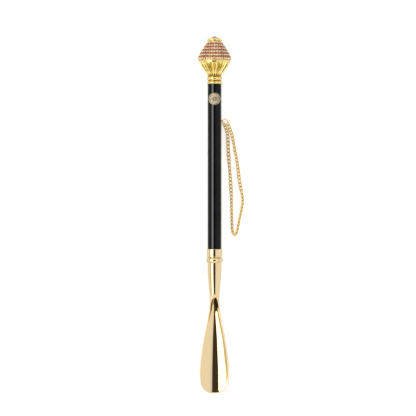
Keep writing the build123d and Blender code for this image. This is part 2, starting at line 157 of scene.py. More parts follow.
# The floor is matt white board. Where it is seen directly it is lifted a little, so that it
# stays pale beside the shoehorn; the lift gives no light to anything.
board_lift = 0.34
floor_reach = 12.0
floor_drop = 0.2 * MM
floor_paint = bpy.data.materials.new("matt_white_board")
floor_paint.use_nodes = True
board = floor_paint.node_tree
board_shader = board.nodes["Principled BSDF"]
board_shader.inputs["Base Color"].default_value = linear("#EDEDEC")
board_shader.inputs["Roughness"].default_value = 0.95
board_shader.inputs["Specular IOR Level"].default_value = 0.1
board_shader.inputs["Emission Color"].default_value = (1, 1, 1, 1)
straight = add_node(board, "ShaderNodeLightPath")
lift = add_node(board, "ShaderNodeMath", operation="MULTIPLY",
                links={0: straight.outputs["Is Camera Ray"]}, values={1: board_lift})
board.links.new(lift.outputs[0], board_shader.inputs["Emission Strength"])
floor_mesh = bpy.data.meshes.new("floor")
floor_mesh.from_pydata([(x * floor_reach, y * floor_reach, 0)
                        for x, y in ((-1, -1), (1, -1), (1, 1), (-1, 1))], [], [(0, 1, 2, 3)])
floor_mesh.materials.append(floor_paint)
floor = bpy.data.objects.new("floor", floor_mesh)
floor.location.z = -floor_drop
bpy.context.scene.collection.objects.link(floor)


# ---- Wrist chain: curb links of brass wire, gold plated, both ends on one jump ring ----
# Every link is bent from round wire and twisted, so that its ends lie across its neighbours.
# The jump ring hangs in an eye of thinner wire, whose legs are glued into the shaft.
def plated_brass(name, face, deep, roughness, haze_mm=5.0, grain_mm=0.5, shade_reach_mm=1.2,
                 shut_in=0.4, in_the_open=0.88):
    """Gold-plated brass, polished: mirror-like, with hazier patches where hands have rubbed it,
    polishing marks, drawn some ten times as coarse as real ones so that they show, and painted
    shade: the colour turns from face to deep in corners and recesses, where ambient occlusion
    finds the surroundings closed in. The painted shade is whole where no more than shut_in of
    the surroundings is open, and gone from in_the_open on."""
    material = bpy.data.materials.new(name)
    material.use_nodes = True
    tree = material.node_tree
    shader = tree.nodes["Principled BSDF"]
    shader.inputs["Metallic"].default_value = 1.0
    place = add_node(tree, "ShaderNodeTexCoord")
    haze = add_node(tree, "ShaderNodeTexNoise", links={"Vector": place.outputs["Object"]},
                    values={"Scale": 1 / (haze_mm * MM), "Detail": 3.0, "Roughness": 0.55})
    grain = add_node(tree, "ShaderNodeTexNoise", links={"Vector": place.outputs["Object"]},
                     values={"Scale": 1 / (grain_mm * MM), "Detail": 2.0})
    # painted shade: ambient occlusion over a short reach turns the colour from face to deep in
    # recesses
    occlusion = add_node(tree, "ShaderNodeAmbientOcclusion", samples=6, only_local=True,
                      values={"Distance": shade_reach_mm * MM})
    shade = add_node(tree, "ShaderNodeMapRange", links={"Value": occlusion.outputs["AO"]},
                     values={"From Min": shut_in, "From Max": in_the_open})
    tone = add_node(tree, "ShaderNodeMix", data_type="RGBA", links={"Factor": shade.outputs[0]})
    tone.inputs[6].default_value = linear(deep)
    tone.inputs[7].default_value = linear(face)
    tree.links.new(tone.outputs[2], shader.inputs["Base Color"])
    rough = add_node(tree, "ShaderNodeMapRange", links={"Value": haze.outputs["Fac"]},
                     values={"From Min": 0.3, "From Max": 0.7, "To Min": roughness * 0.7,
                             "To Max": roughness * 1.5})
    tree.links.new(rough.outputs[0], shader.inputs["Roughness"])
    marks = add_node(tree, "ShaderNodeBump", links={"Height": grain.outputs["Fac"]},
                     values={"Strength": 0.12, "Distance": 0.01 * MM})
    tree.links.new(marks.outputs[0], shader.inputs["Normal"])
    return material


def make_piece(name, vertices, faces, material, stands_for=(), body="root", sharp=32):
    """A closed mesh from points in metres, which rides on a body and stands for CAD nodes. Edges
    that turn by more than sharp degrees stay crisp."""
    mesh = bpy.data.meshes.new(name)
    mesh.from_pydata([tuple(v) for v in vertices], [], faces)
    work = bmesh.new()
    work.from_mesh(mesh)
    bmesh.ops.remove_doubles(work, verts=work.verts, dist=1e-7)
    bmesh.ops.dissolve_degenerate(work, edges=work.edges, dist=1e-8)
    bmesh.ops.recalc_face_normals(work, faces=work.faces)
    work.to_mesh(mesh)
    work.free()
    mesh.polygons.foreach_set("use_smooth", [True] * len(mesh.polygons))
    mesh.set_sharp_from_angle(angle=radians(sharp))
    mesh.materials.append(material)
    piece = bpy.data.objects.new(name, mesh)
    bpy.context.scene.collection.objects.link(piece)
    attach(piece, body)
    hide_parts(*stands_for)
    return piece


def strip_faces(rows, columns, first=0, close_rows=False, close_columns=True):
    """Quads over a grid of points, row by row."""
    faces = []
    for i in range(rows if close_rows else rows - 1):
        for j in range(columns if close_columns else columns - 1):
            a, b = first + i * columns, first + (i + 1) % rows * columns
            k = (j + 1) % columns
            faces.append((a + j, a + k, b + k, b + j))
    return faces


def wire(points, across, radius, sides=12, closed=True, first=0):
    """Points and faces of round wire along points; across is a direction square to the wire."""
    points, across = np.array(points, float), np.array(across, float)
    if closed:
        run = np.roll(points, -1, 0) - np.roll(points, 1, 0)
    else:
        run = np.gradient(points, axis=0)
    run /= np.linalg.norm(run, axis=1)[:, None]
    side = np.cross(run, across)
    side /= np.linalg.norm(side, axis=1)[:, None]
    lift = np.cross(side, run)
    angles = np.arange(sides) * 2 * pi / sides
    rings = (points[:, None] + radius * (side[:, None] * np.cos(angles)[None, :, None]
                                         + lift[:, None] * np.sin(angles)[None, :, None]))
    faces = strip_faces(len(points), sides, first, close_rows=closed)
    if not closed:
        faces += [tuple(first + j for j in range(sides)),
                  tuple(first + (len(points) - 1) * sides + j for j in range(sides))[::-1]]
    return rings.reshape(-1, 3), faces


# drawn wire, plated in deep yellow: bright on the bows of the links, with brown painted shade
# between them
chain_gold = plated_brass("gold_plated_brass_wire", "#F0CD66", "#B08226", 0.18)

# where the ring passes through the eye; sizes of wire are radii, and all are in millimetres
ring_grip = Vector((140.3, -11.2, 23.317))
ring_wire, ring_radius, ring_tilt = 0.66, 4.5, radians(38)
ring_out = Vector((-0.14, -0.99, 0)).normalized()
ring_down = Vector((-0.99, 0.14, 0)).normalized() * cos(ring_tilt) - Vector((0, 0, sin(ring_tilt)))
ring_middle = ring_grip + ring_out * ring_radius
ring_normal = ring_out.cross(ring_down).normalized()


def on_ring(angle):
    """The middle of the jump ring's wire, at degrees from its outermost point."""
    turn = radians(angle)
    return ring_middle + (ring_out * cos(turn) + ring_down * sin(turn)) * ring_radius


ring_steps = 60
ring_line = [on_ring(360 / ring_steps * step) * MM for step in range(ring_steps)]
vertices, faces = wire(ring_line, [ring_normal] * ring_steps, ring_wire * MM, 16)
make_piece("jump_ring_wire", vertices, faces, chain_gold, ["jump_ring"],
           "jump_ring")

eye_wire, eye_bow, eye_leg_depth, eye_play = 0.48, 2.25, 4.5, 0.35
eye_outer = ring_grip.y - ring_wire - eye_play - eye_wire
eye_across = Vector((-sin(ring_tilt), 0, cos(ring_tilt)))
eye_middle = Vector((ring_grip.x, eye_outer + eye_bow, ring_grip.z))
bow = [eye_middle + eye_across * eye_bow * cos(radians(angle))
       - Vector((0, eye_bow * sin(radians(angle)), 0)) for angle in range(0, 181, 10)]
legs = [Vector((p.x, -eye_leg_depth, p.z)) for p in (bow[0], bow[-1])]
eye_line = [legs[0], legs[0].lerp(bow[0], 0.98), *bow, legs[1].lerp(bow[-1], 0.98), legs[1]]
eye_normal = eye_across.cross(Vector((0, 1, 0)))
vertices, faces = wire([p * MM for p in eye_line], [eye_normal] * len(eye_line),
                       eye_wire * MM, 14, closed=False)
make_piece("chain_eye_wire", vertices, faces, chain_gold, ["chain_eye"])

chain_gap, hook_gap = 3.2, 2.0                 # from the ring to the route's ends, and to the links
left_hook, right_hook = on_ring(105), on_ring(25)
left_way = Vector((-0.60, -0.30, -0.72)).normalized()
right_way = Vector((-0.62, -0.32, -0.70)).normalized()
# the route that the chain lies in: down from the ring to the floor, a long narrow loop, and back
chain_route = [
    left_hook + left_way * chain_gap, (125.5, -19.2, 11.0), (114.0, -20.2, 4.2), (97.0, -20.6, 2.4),
    (66.0, -23.2, 2.4), (31.0, -25.5, 2.4), (2.0, -25.8, 2.4), (-15.0, -26.4, 2.4),
    (-25.0, -26.9, 2.4), (-30.4, -30.6, 2.4), (-25.0, -34.2, 2.4), (-15.0, -35.8, 2.4),
    (3.0, -39.4, 2.4), (22.0, -43.4, 2.4), (40.0, -39.6, 2.4), (58.0, -36.6, 2.4),
    (79.0, -34.6, 2.4), (98.0, -30.6, 2.4), (114.0, -28.0, 5.2), (124.5, -25.0, 11.6),
    right_hook + right_way * chain_gap,
]
route_data = bpy.data.curves.new("chain_route", "CURVE")
route_data.dimensions = "3D"
route_data.resolution_u = 32
spline = route_data.splines.new("NURBS")
spline.points.add(len(chain_route) - 1)
for point, place in zip(spline.points, chain_route):
    point.co = (*[v * MM for v in place], 1.0)
spline.order_u = 3
spline.use_endpoint_u = True
route_object = bpy.data.objects.new("chain_route", route_data)
route_line = bpy.data.meshes.new_from_object(route_object)
chain_line = np.array([v.co for v in route_line.vertices], float)
bpy.data.objects.remove(route_object)
line_steps = np.linalg.norm(np.diff(chain_line, axis=0), axis=1)
line_at = np.concatenate([[0], np.cumsum(line_steps)])
chain_length = line_at[-1]


def on_chain(distance):
    """The point at a distance along the chain's line, which runs straight on past its two ends."""
    if distance < 0:
        return chain_line[0] - np.array(left_way) * -distance
    if distance > chain_length:
        return chain_line[-1] - np.array(right_way) * (distance - chain_length)
    return np.array([np.interp(distance, line_at, chain_line[:, axis]) for axis in range(3)])


link_pitch = 5.4 * MM
link_wire = 0.72 * MM
link_half = link_pitch / 2 + link_wire         # half the link's length, at the middle of its wire
link_width = 2.8 * MM - link_wire              # and half its width
link_twist = radians(34)
link_squareness = 0.82                         # 1 is an oval; less has fuller shoulders
link_steps = 24
floor_clearance = 0.05 * MM
end_reach = (chain_gap - hook_gap) * MM        # the end links hook round the jump ring
link_count = round((chain_length + 2 * end_reach) / link_pitch) + 1
link_gap = (chain_length + 2 * end_reach) / (link_count - 1)
# how each link has rolled about the chain, in degrees, at shares of the way round
link_rolls = [(0.0, 30), (0.06, 24), (0.1, 5), (0.15, 5), (0.19, 45), (0.23, 48), (0.26, 12),
              (0.29, 10), (0.34, 56), (0.46, 60), (0.5, 62), (0.56, 64), (0.67, 58), (0.71, 10),
              (0.75, 2), (0.8, 42), (0.9, 48), (0.96, 25), (1.0, 25)]
outline = np.arange(link_steps) * 2 * pi / link_steps
link_x = link_half * np.sign(np.cos(outline)) * np.abs(np.cos(outline)) ** link_squareness
link_y = link_width * np.sign(np.sin(outline)) * np.abs(np.sin(outline)) ** link_squareness
twist = link_twist * link_x / link_half
vertices, faces = [], []
for link in range(link_count):
    middle_at = link * link_gap - end_reach
    middle = on_chain(middle_at)
    along = on_chain(middle_at + link_gap / 2) - on_chain(middle_at - link_gap / 2)
    along /= np.linalg.norm(along)
    up = np.array((0, 0, 1.0)) - along * along[2]
    up /= np.linalg.norm(up)
    side = np.cross(up, along)
    roll = radians(np.interp(link / (link_count - 1), *zip(*link_rolls))) + twist
    across = side[None] * np.cos(roll)[:, None] + up[None] * np.sin(roll)[:, None]
    normal = up[None] * np.cos(roll)[:, None] - side[None] * np.sin(roll)[:, None]
    points = middle + along[None] * link_x[:, None] + across * link_y[:, None]
    ring, ring_faces = wire(points, normal, link_wire, 10, first=len(vertices))
    ring[:, 2] += max(0.0, floor_clearance - ring[:, 2].min())
    vertices.extend(ring)
    faces.extend(ring_faces)
chain_links = make_piece("curb_chain", vertices, faces, chain_gold, ["chain"],
                         "chain", 60)

# ---- Stone at the pommel's point: cut glass, foiled at the back ----
# Twelve-sided, with a small table and two rows of crown facets. It is set in the bezel below.

# From here on, places are distances from this point down the axis, which falls a little
# towards the blade, because the pommel is thicker than the blade.
fall = radians(1.4)
axis_dir = Vector((cos(fall), 0, sin(fall)))
up_dir = Vector((-sin(fall), 0, cos(fall)))
point_of_pommel = Vector((267.5, 0, 26.426))


def at(s, y=0.0, height=0.0):
    """A point in metres: s down the axis, y sideways and height above the axis, in mm."""
    return (point_of_pommel - axis_dir * s + Vector((0, y, 0)) + up_dir * height) * MM


def around(s, radius, turns):
    """A point at a radius from the axis, at a number of turns from the top."""
    return at(s, radius * sin(2 * pi * turns), radius * cos(2 * pi * turns))


def foiled_glass(name, tones, roughness, mirror, facet_mm=1.1):
    """Cut glass with a metal foil behind it: each facet throws back the room, and each stone
    has its own tone, which changes again from facet to facet. The foil is why it is partly
    metallic, with a clear coat over it."""
    material = bpy.data.materials.new(name)
    material.use_nodes = True
    tree = material.node_tree
    shader = tree.nodes["Principled BSDF"]
    shader.inputs["Metallic"].default_value = mirror
    shader.inputs["IOR"].default_value = 1.56
    shader.inputs["Roughness"].default_value = roughness
    shader.inputs["Coat Weight"].default_value = 1.0
    shader.inputs["Coat Roughness"].default_value = 0.02
    stone = add_node(tree, "ShaderNodeNewGeometry")
    place = add_node(tree, "ShaderNodeTexCoord")
    glints = add_node(tree, "ShaderNodeTexVoronoi", links={"Vector": place.outputs["Object"]},
                      values={"Scale": 1 / (facet_mm * MM)})
    spot = add_node(tree, "ShaderNodeSeparateColor", links={"Color": glints.outputs["Color"]})
    from_facet = add_node(tree, "ShaderNodeMath", operation="MULTIPLY",
                          links={0: spot.outputs[0]}, values={1: 0.45})
    own = add_node(tree, "ShaderNodeMath", operation="MULTIPLY_ADD", values={1: 0.55},
                   links={0: stone.outputs["Random Per Island"], 2: from_facet.outputs[0]})
    tone = add_node(tree, "ShaderNodeValToRGB", links={"Fac": own.outputs[0]})
    set_ramp(tone, [(i / (len(tones) - 1), linear(t)) for i, t in enumerate(tones)])
    tree.links.new(tone.outputs["Color"], shader.inputs["Base Color"])
    return material


# old rose over a dull foil: softer than the crystals, so that its facets stay dark and light pink
rose_glass = foiled_glass("foiled_rose_glass", ["#8E3F3A", "#B0574F", "#C98A84"], 0.06, 0.3)
# distance, radius, corners, and how far they are turned on, in corners
stone_rings = [(0.1, 0.7, 6, 0.0), (1.5, 3.3, 12, 0.5), (2.9, 5.75, 12, 0.0), (4.7, 8.3, 24, 0.0),
               (5.1, 8.3, 24, 0.0), (7.25, 6.3, 12, 0.5)]
work = bmesh.new()
for s, radius, count, shift in stone_rings:
    for k in range(count):
        work.verts.new(around(s, radius, (k + shift) / count))
bmesh.ops.convex_hull(work, input=work.verts)
hull = bpy.data.meshes.new("hull")
work.to_mesh(hull)
work.free()
make_piece("cut_stone", [v.co.copy() for v in hull.vertices],
           [tuple(p.vertices) for p in hull.polygons], rose_glass, ["top_stone"],
           sharp=1)


# ---- Bezel: a turned cup of brass, gold plated, with its lip closed over the stone ----
# Its belly is a plain polished ring, the brightest line at the pommel's point.
def turn_piece(name, outline, material, stands_for, steps=128, sharp=32):
    """A turned piece from the closed outline of (distance, radius) points."""
    points = [around(s, radius, k / steps) for k in range(steps) for s, radius in outline]
    return make_piece(name, points, strip_faces(steps, len(outline), close_rows=True),
                      material, stands_for, sharp=sharp)


def arc(start, middle, end, count=8):
    """Points on the arc through three points."""
    (ax, ay), (bx, by), (cx, cy) = start, middle, end
    d = 2 * (ax * (by - cy) + bx * (cy - ay) + cx * (ay - by))
    a2, b2, c2 = ax**2 + ay**2, bx**2 + by**2, cx**2 + cy**2
    ux = (a2 * (by - cy) + b2 * (cy - ay) + c2 * (ay - by)) / d
    uy = (a2 * (cx - bx) + b2 * (ax - cx) + c2 * (bx - ax)) / d
    leave, pass_by, arrive = (atan2(y - uy, x - ux) for x, y in (start, middle, end))
    pass_by = leave + (pass_by - leave + pi) % (2 * pi) - pi
    arrive = pass_by + (arrive - pass_by + pi) % (2 * pi) - pi
    radius = hypot(ax - ux, ay - uy)
    turns = [leave + (arrive - leave) * i / count for i in range(count + 1)]
    return [(ux + radius * cos(turn), uy + radius * sin(turn)) for turn in turns]


# turned, polished and plated in light yellow: a bright belly, with brown painted shade in the
# corners beside it
yellow_gold = plated_brass("gold_plated_brass_polished", "#F5E094", "#74400F", 0.2, shade_reach_mm=3.0)
bezel_belly = arc((8.15, 9.6), (5.9, 11.4), (3.95, 9.5), 12)
bezel_lip = arc((3.9, 9.2), (3.7, 8.6), (4.1, 8.1), 5)
bezel_seat = [(4.7, 8.38), (5.2, 8.36), (7.5, 6.4), (7.5, 1.0)]
turn_piece("bezel_ring", [(8.2, 1.0), (8.2, 9.4)] + bezel_belly + bezel_lip + bezel_seat,
           yellow_gold, ["bezel_cup"])

# ---- Rows of crystals: cup chain, soldered round the cone in eleven rows ----
# Each crystal sits in a square-set cup with four prongs; short bars join the cups. The rows are
# clear and red by turns. The cone itself shows only as gold between the cups.
cone_top, cone_top_radius, cone_bottom, pommel_radius, cone_bulge = 9.4, 11.3, 33.5, 25.6, 0.9
row_count, crystal_pitch, girdle_depth = 11, 4.0, 0.75
band_width, band_top, band_bottom, band_steps = 2.5, 1.25, 1.87, 96


def cone_side(t):
    """Distance, radius and slope of the crystals' tables, at share t down the cone."""
    run, rise = cone_bottom - cone_top, pommel_radius - cone_top_radius
    chord = hypot(run, rise)
    bow, bow_slope = cone_bulge * 4 * t * (1 - t), cone_bulge * 4 * (1 - 2 * t)
    return (cone_top + run * t - rise / chord * bow,
            cone_top_radius + rise * t + run / chord * bow,
            atan2(rise + run / chord * bow_slope, run - rise / chord * bow_slope))


def on_cone(t, along, depth):
    """(distance, radius) at a depth below the tables, moved along the slope."""
    s, radius, slope = cone_side(t)
    return (s + along * cos(slope) + depth * sin(slope),
            radius + along * sin(slope) - depth * cos(slope))


def small_turned(outline, sides):
    """Points and faces of a little turned shape about its own Z, in millimetres."""
    points = [(r * cos(2 * pi * k / sides), r * sin(2 * pi * k / sides), z)
              for k in range(sides) for r, z in outline]
    return points, strip_faces(sides, len(outline), close_rows=True, close_columns=False)


# clear and red glass over bright foil: hard little sparks, from grey to white and dark to light red
clear_glass = foiled_glass("foiled_clear_glass", ["#A8A49A", "#F4F0E8", "#FFFFFF"], 0.05, 0.6)
red_glass = foiled_glass("foiled_red_glass", ["#7A2018", "#A63A2A", "#D0705C"], 0.07, 0.45)
# stamped cups, plated in pale gold, with painted shade between them; beside red glass the cups take
# a redder copy of the gold, a painted red reflection of the glass
setting_gold = plated_brass("gold_plated_brass_settings", "#FFEDB8", "#B87A44", 0.16,
                            shade_reach_mm=0.9)
gold_with_painted_red_glow = plated_brass("gold_plated_brass_painted_red_reflection", "#E8B694", "#AC5636", 0.16,
                            shade_reach_mm=0.9)
# outlines as (radius, height over the crystals' tables)
cup_shape = small_turned([(1.1, -1.35), (1.42, -1.3), (1.52, -0.8), (1.44, -0.5), (1.28, -0.46),
                          (1.18, -0.66), (1.1, -1.35)], 16)
prong_shape = small_turned([(0.0, 0.12), (0.16, 0.06), (0.24, -0.12), (0.26, -1.2)], 8)
bar_shape = ([(x, y, z) for x in (-0.42, 0.42) for y in (-0.6, 0.6) for z in (-1.5, -0.8)],
             [(0, 1, 3, 2), (4, 6, 7, 5), (0, 4, 5, 1), (2, 3, 7, 6), (1, 5, 7, 3), (0, 2, 6, 4)])
crystal_shape = small_turned([(0.0, 0.04), (0.6, 0.04), (1.14, -0.4), (1.14, -0.52),
                              (0.3, -1.3), (0.0, -1.3)], 8)
# what each crystal takes: shape, place across and up the slope in mm, and share of the way on to
# the next crystal
setting_parts = ([(cup_shape, 0, 0, 0)]
                 + [(prong_shape, x, y, 0) for x in (-1, 1) for y in (-1, 1)]
                 + [(bar_shape, 0, 0, 0.5)])
glass_parts = [(crystal_shape, 0, 0, 0)]
for row in range(row_count):
    t = row / (row_count - 1)
    s, radius, slope = cone_side(t)
    count = round(2 * pi * (radius - girdle_depth) / crystal_pitch)
    setting, setting_faces, glass, glass_faces = [], [], [], []
    for turn in range(count):
        for parts, points, faces in ((setting_parts, setting, setting_faces),
                                     (glass_parts, glass, glass_faces)):
            for (shape_points, shape_faces), side, lift, half in parts:
                angle = 2 * pi * (turn + half + 0.5 * (row % 2)) / count
                outward = Vector((0, sin(angle), 0)) + up_dir * cos(angle)
                sideways = Vector((0, cos(angle), 0)) - up_dir * sin(angle)
                facing = outward * cos(slope) + axis_dir * sin(slope)
                uphill = facing.cross(sideways)
                middle = at(s) / MM + outward * radius + sideways * side + uphill * lift
                base = len(points)
                points.extend((middle + sideways * x + uphill * y + facing * z) * MM
                              for x, y, z in shape_points)
                faces.extend(tuple(base + i for i in face) for face in shape_faces)
    band = [on_cone(t, -band_width / 2, band_bottom), on_cone(t, -band_width / 2, band_top),
            on_cone(t, band_width / 2, band_top), on_cone(t, band_width / 2, band_bottom)]
    base = len(setting)
    setting.extend(around(bs, br, k / band_steps) for k in range(band_steps) for bs, br in band)
    setting_faces.extend(strip_faces(band_steps, len(band), base, close_rows=True))
    number = f"{row + 1:02d}"
    # the rows beside red glass take the redder gold: a painted red reflection
    make_piece("cups_" + number, setting, setting_faces, gold_with_painted_red_glow if row % 2 else setting_gold,
               ["setting_row_" + number], sharp=40)
    make_piece("crystals_" + number, glass, glass_faces, red_glass if row % 2 else clear_glass,
               ["crystal_row_" + number], sharp=5)

# ---- Rim under the crystals: a turned ring of gold-plated brass ----
# It hides the lower edge of the last row and the joint with the fluted cup.

# brushed before plating, so that it shines softly where the rings below are mirrors; the brown in
# its corners is painted shade
satin_gold = plated_brass("gold_plated_brass_satin", "#EBD694", "#6A3A10", 0.4, shade_reach_mm=2.0)
rim_start, rim_end, rim_radius, rim_inside = 35.3, 37.8, 24.1, 19.0
rim_shoulder = rim_radius - 0.85
turn_piece("rim_band", [(rim_end, rim_inside), (rim_end, rim_radius - 0.9)]
           + arc((rim_end, rim_shoulder), (36.55, rim_radius), (rim_start, rim_shoulder), 10)
           + [(rim_start, rim_inside)], satin_gold, ["rim_ring"], 160)

# ---- Fluted cup: cast brass, gold plated, with 24 flutes and a knob at each rib's head ----
# The flutes start round under the rim and run out to nothing at the neck. Each knob is a bead
# that is cast with its rib and closes the rib's head under the rim.
def smooth(table, s):
    """The row of a table at s, on a curve through its rows that never overshoots them."""
    table = np.array(table, float)
    x, y = table[:, 0], table[:, 1:]
    steps, rises = np.diff(x), np.diff(y, axis=0) / np.diff(x)[:, None]
    slopes = np.zeros_like(y)
    same = rises[:-1] * rises[1:] > 0
    w1, w2 = (2 * steps[1:] + steps[:-1])[:, None], (steps[1:] + 2 * steps[:-1])[:, None]
    slopes[1:-1][same] = ((w1 + w2) / (w1 / np.where(same, rises[:-1], 1)
                                       + w2 / np.where(same, rises[1:], 1)))[same]
    slopes[0], slopes[-1] = rises[0], rises[-1]
    i = int(np.clip(np.searchsorted(x, s) - 1, 0, len(x) - 2))
    h, u = steps[i], (s - x[i]) / steps[i]
    return ((2 * u**3 - 3 * u**2 + 1) * y[i] + (u**3 - 2 * u**2 + u) * h * slopes[i]
            + (3 * u**2 - 2 * u**3) * y[i + 1] + (u**3 - u**2) * h * slopes[i + 1])


# cast and polished, plated in full yellow: bright ribs, with brown painted shade down the flutes
# between them
cast_gold = plated_brass("gold_plated_brass_cast", "#FFE88E", "#5E3208", 0.1, shade_reach_mm=2.6,
                         shut_in=0.36, in_the_open=0.76)
neck_start = 59.8
cup_profile = [(rim_end, 23.0), (40.8, 22.4), (44.5, 20.3), (48.4, 17.4), (52.3, 14.2),
               (56.2, 11.2), (neck_start, 9.6)]
flute_count, steps_in_flute = 24, 16
# distance, radius at the flute's middle, and half the flute's width, at its head and its foot
flute_head, flute_foot = (40.5, 24.1, 2.15), (58.6, 10.15, 0.85)
flute_depth, flute_end = 2.0, 59.2
flute_slope = atan2(flute_head[1] - flute_foot[1], flute_foot[0] - flute_head[0])
cup_rows = [rim_end + 0.25 * k for k in range(36)] + [46.8 + 0.4 * k for k in range(33)]
cup_columns = flute_count * steps_in_flute
vertices = []
for s in cup_rows:
    plain = float(smooth(cup_profile, s)[0])
    share_down = (s - flute_head[0]) / (flute_foot[0] - flute_head[0])
    middle = flute_head[1] + (flute_foot[1] - flute_head[1]) * share_down
    reach_across = flute_head[2] + (flute_foot[2] - flute_head[2]) * max(0.0, share_down)
    if share_down < 0:
        above = (s - flute_head[0]) / cos(flute_slope)
        reach_across = max(0.0, flute_head[2] ** 2 - above**2) ** 0.5
        middle = flute_head[1]
    for k in range(cup_columns):
        turn = k / cup_columns
        off = plain * sin(2 * pi * ((turn * flute_count + 0.5) % 1 - 0.5) / flute_count)
        radius = plain
        if abs(off) < reach_across and s < flute_end:
            cut = plain - middle + (reach_across**2 - off**2) ** 0.5 / cos(flute_slope)
            radius = plain - flute_depth * max(0.0, cut)
        vertices.append(around(s, radius, turn))
stud_hole = 3.1
inside = [(neck_start, stud_hole), (55.8, stud_hole), (55.8, 7.0), (47.8, 14.6),
          (40.2, rim_inside), (rim_end, rim_inside)]
vertices += [around(s, radius, k / cup_columns) for s, radius in inside for k in range(cup_columns)]
make_piece("fluted_shell", vertices,
           strip_faces(len(cup_rows) + len(inside), cup_columns, close_rows=True),
           cast_gold, ["fluted_cup"], sharp=38)
knob_place, knob_radius, knob_rings, knob_sides = (40.9, 22.1), 1.2, 7, 14
knob, knob_faces = [], []
for turn in range(flute_count):
    centre = around(*knob_place, (turn + 0.5) / flute_count)
    base = len(knob)
    for ring in range(1, knob_rings + 1):
        for k in range(knob_sides):
            a, b = pi * ring / (knob_rings + 1), 2 * pi * k / knob_sides
            outward = Vector((cos(a), sin(a) * cos(b), sin(a) * sin(b)))
            knob.append(centre + outward * knob_radius * MM)
    knob_faces += strip_faces(knob_rings, knob_sides, base)
    last_ring = base + (knob_rings - 1) * knob_sides
    knob_faces += [tuple(base + k for k in range(knob_sides)),
                   tuple(last_ring + k for k in range(knob_sides))[::-1]]
# the knobs are a paler copy of the cup's gold: a painted highlight on each knob
knob_gold_painted_highlight = plated_brass("gold_plated_brass_beading_painted_highlight", "#FFF4D4", "#B9803A", 0.2)
make_piece("rib_knobs", knob, knob_faces, knob_gold_painted_highlight, sharp=60)

# ---- Neck: a sleeve with two turned rings, with dark grooves beside them ----
# All three are brass, gold plated; the sleeve shows only in the grooves, and its darker gold there
# is painted shade.
groove_painted_shade_gold = plated_brass("gold_plated_brass_groove_painted_shade", "#B27A2E", "#5E3510", 0.3)
shaft_start = 71.4
neck_radius, ring_foot, ring_edge, ring_crown = 9.9, 9.92, 10.4, 11.3
turn_piece("neck_tube", [(neck_start, neck_radius), (neck_start, stud_hole),
                         (shaft_start, stud_hole), (shaft_start, neck_radius)],
           groove_painted_shade_gold, ["neck_sleeve"])
for name, start, end in (("upper_neck_ring", 61.3, 65.6), ("lower_neck_ring", 67.8, 71.3)):
    belly = arc((start, ring_edge), ((start + end) / 2, ring_crown), (end, ring_edge), 14)
    turn_piece(name + "_turned", [(start, ring_foot)] + belly + [(end, ring_foot)],
               yellow_gold, [name])

# ---- Shaft: beech, turned, with many coats of black lacquer polished to a mirror ----
# The lacquer is as deep and smooth as a piano's. The tenon at its end is glued into the
# ferrule and the blade's socket.

# Near-black to its bottom and a mirror on top: it throws back far less than metal, its gloss
# changes a little where it was wiped, and it has dried in faint waves.
cloud_mm, wipe_mm, wave_mm = 24, 9, 3.5
lacquer = bpy.data.materials.new("black_piano_lacquer")
lacquer.use_nodes = True
tree = lacquer.node_tree
shader = tree.nodes["Principled BSDF"]
shader.inputs["IOR"].default_value = 1.52
shader.inputs["Specular IOR Level"].default_value = 0.17
place = add_node(tree, "ShaderNodeTexCoord")
depth = add_node(tree, "ShaderNodeTexNoise", links={"Vector": place.outputs["Object"]},
                 values={"Scale": 1 / (cloud_mm * MM), "Detail": 2.0})
body_tone = add_node(tree, "ShaderNodeValToRGB", links={"Fac": depth.outputs["Fac"]})
set_ramp(body_tone, [(0.35, linear("#020203")), (0.65, linear("#050608"))])
tree.links.new(body_tone.outputs["Color"], shader.inputs["Base Color"])
wiped = add_node(tree, "ShaderNodeTexNoise", links={"Vector": place.outputs["Object"]},
                 values={"Scale": 1 / (wipe_mm * MM), "Detail": 4.0})
gloss = add_node(tree, "ShaderNodeMapRange", links={"Value": wiped.outputs["Fac"]},
                 values={"From Min": 0.35, "From Max": 0.7, "To Min": 0.03, "To Max": 0.075})
tree.links.new(gloss.outputs[0], shader.inputs["Roughness"])
flow = add_node(tree, "ShaderNodeTexNoise", links={"Vector": place.outputs["Object"]},
                values={"Scale": 1 / (wave_mm * MM), "Detail": 1.0})
peel = add_node(tree, "ShaderNodeBump", links={"Height": flow.outputs["Fac"]},
                values={"Strength": 0.1, "Distance": 0.01 * MM})
tree.links.new(peel.outputs[0], shader.inputs["Normal"])
shaft_end, tenon_end = 317.6, 350.4
shaft_radius, tenon_radius, insert_radius, screw_radius = 10.2, 8.6, 5.53, 3.3
bare_from, bare_to, edge_radius = 71.7, 317.3, 9.9
insert_end, screw_end, shaft_steps = 96.0, 98.0, 40
shaft_face = [(bare_from + (bare_to - bare_from) * k / shaft_steps, shaft_radius)
              for k in range(shaft_steps + 1)]
tenon = [(shaft_end, tenon_radius), (350.0, tenon_radius), (tenon_end, 8.2), (tenon_end, 0.01)]
bore = [(screw_end, 0.01), (screw_end, screw_radius), (insert_end, screw_radius),
        (insert_end, insert_radius)]
turn_piece("lacquered_shaft", [(shaft_start, insert_radius), (shaft_start, edge_radius)]
           + shaft_face + [(shaft_end, edge_radius)] + tenon + bore,
           lacquer, ["shaft"])

# A strip lamp beside the camera lights only the lacquer, whose gloss is weaker than the metal's.
strip = bpy.data.objects.new("strip_lamp", bpy.data.lights.new("strip_lamp", "AREA"))
strip.data.shape = "RECTANGLE"
strip.data.size, strip.data.size_y = 1.2, 0.74
strip.data.energy = 25.0
strip_lean, strip_away = radians(32), 1.5
strip.location = (72 * MM, strip_away * sin(strip_lean), strip_away * cos(strip_lean))
strip.rotation_euler = (-strip_lean, 0, 0)
bpy.context.scene.collection.objects.link(strip)
lacquered = bpy.data.collections.new("lacquered")
lacquered.objects.link(bpy.data.objects["lacquered_shaft"])
strip.light_linking.receiver_collection = lacquered
